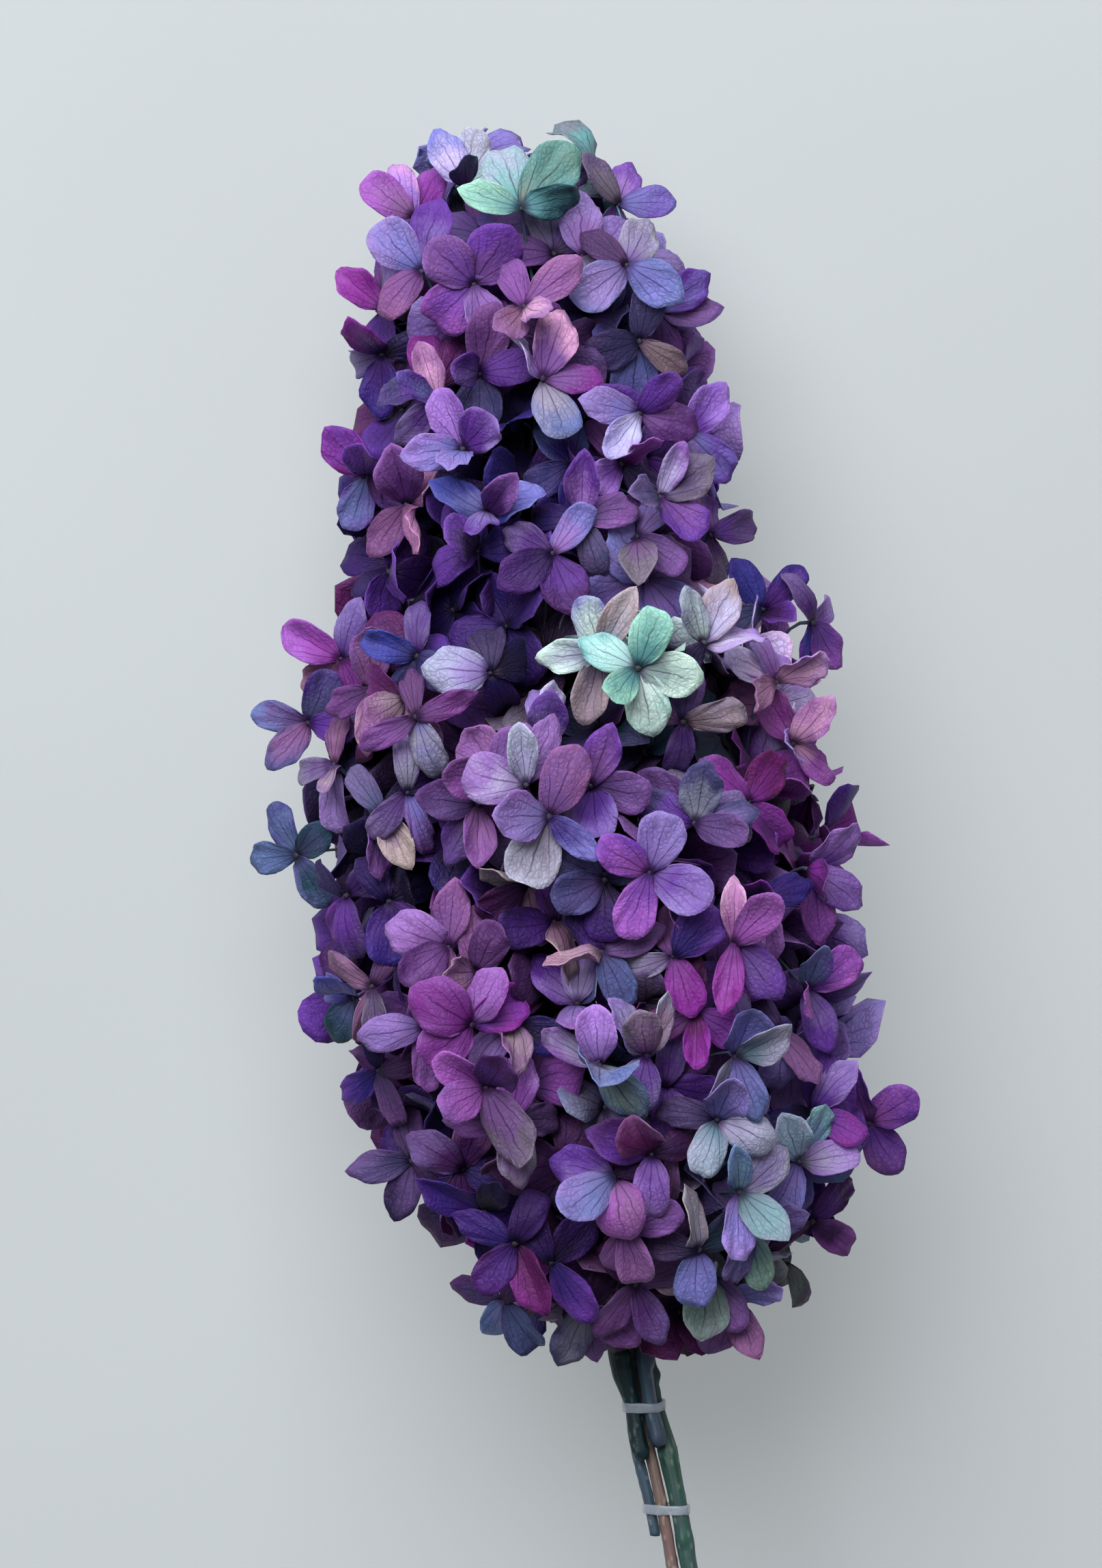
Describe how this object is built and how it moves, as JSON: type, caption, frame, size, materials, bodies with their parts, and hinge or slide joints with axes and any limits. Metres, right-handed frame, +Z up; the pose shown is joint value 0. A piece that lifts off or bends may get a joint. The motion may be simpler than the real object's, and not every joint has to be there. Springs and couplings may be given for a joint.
{
  "type": "preserved hydrangea bunch",
  "caption": "Tall bunch of dyed preserved hydrangea heads on bundled cut stems held by clear bands, lying on its side.",
  "frame": {"origin": "on the surface that the bunch lies on, at the middle of the floret pressed flat under its weight", "axes": "+Y from the cut stems to the tip of the head, +Z up from the surface, +X to the right as seen from above"},
  "size_m": [0.1813, 0.4147, 0.1495],
  "materials": {
    "petals": "dry matt petal tissue, dyed in patches of violet, plum, indigo, mint and pink",
    "green_stem": "dyed bark, green with violet streaks",
    "teal_stem": "dyed bark, dark teal",
    "slate_stem": "dyed bark, slate to violet",
    "tan_stem": "pale woody bark with pink dye",
    "clear_band": "clear soft elastic strip"
  },
  "bodies": {
    "root": {"top_spray": "petals", "right_spray": "petals", "left_spray": "petals", "under_spray": "petals", "bottom_spray": "petals", "stem_top": "green_stem", "stem_under": "tan_stem", "stem_left": "slate_stem", "stem_right": "slate_stem", "stem_bottom": "teal_stem", "band_upper": "clear_band", "band_lower": "clear_band", "band_end": "clear_band"}
  },
  "joints": []
}
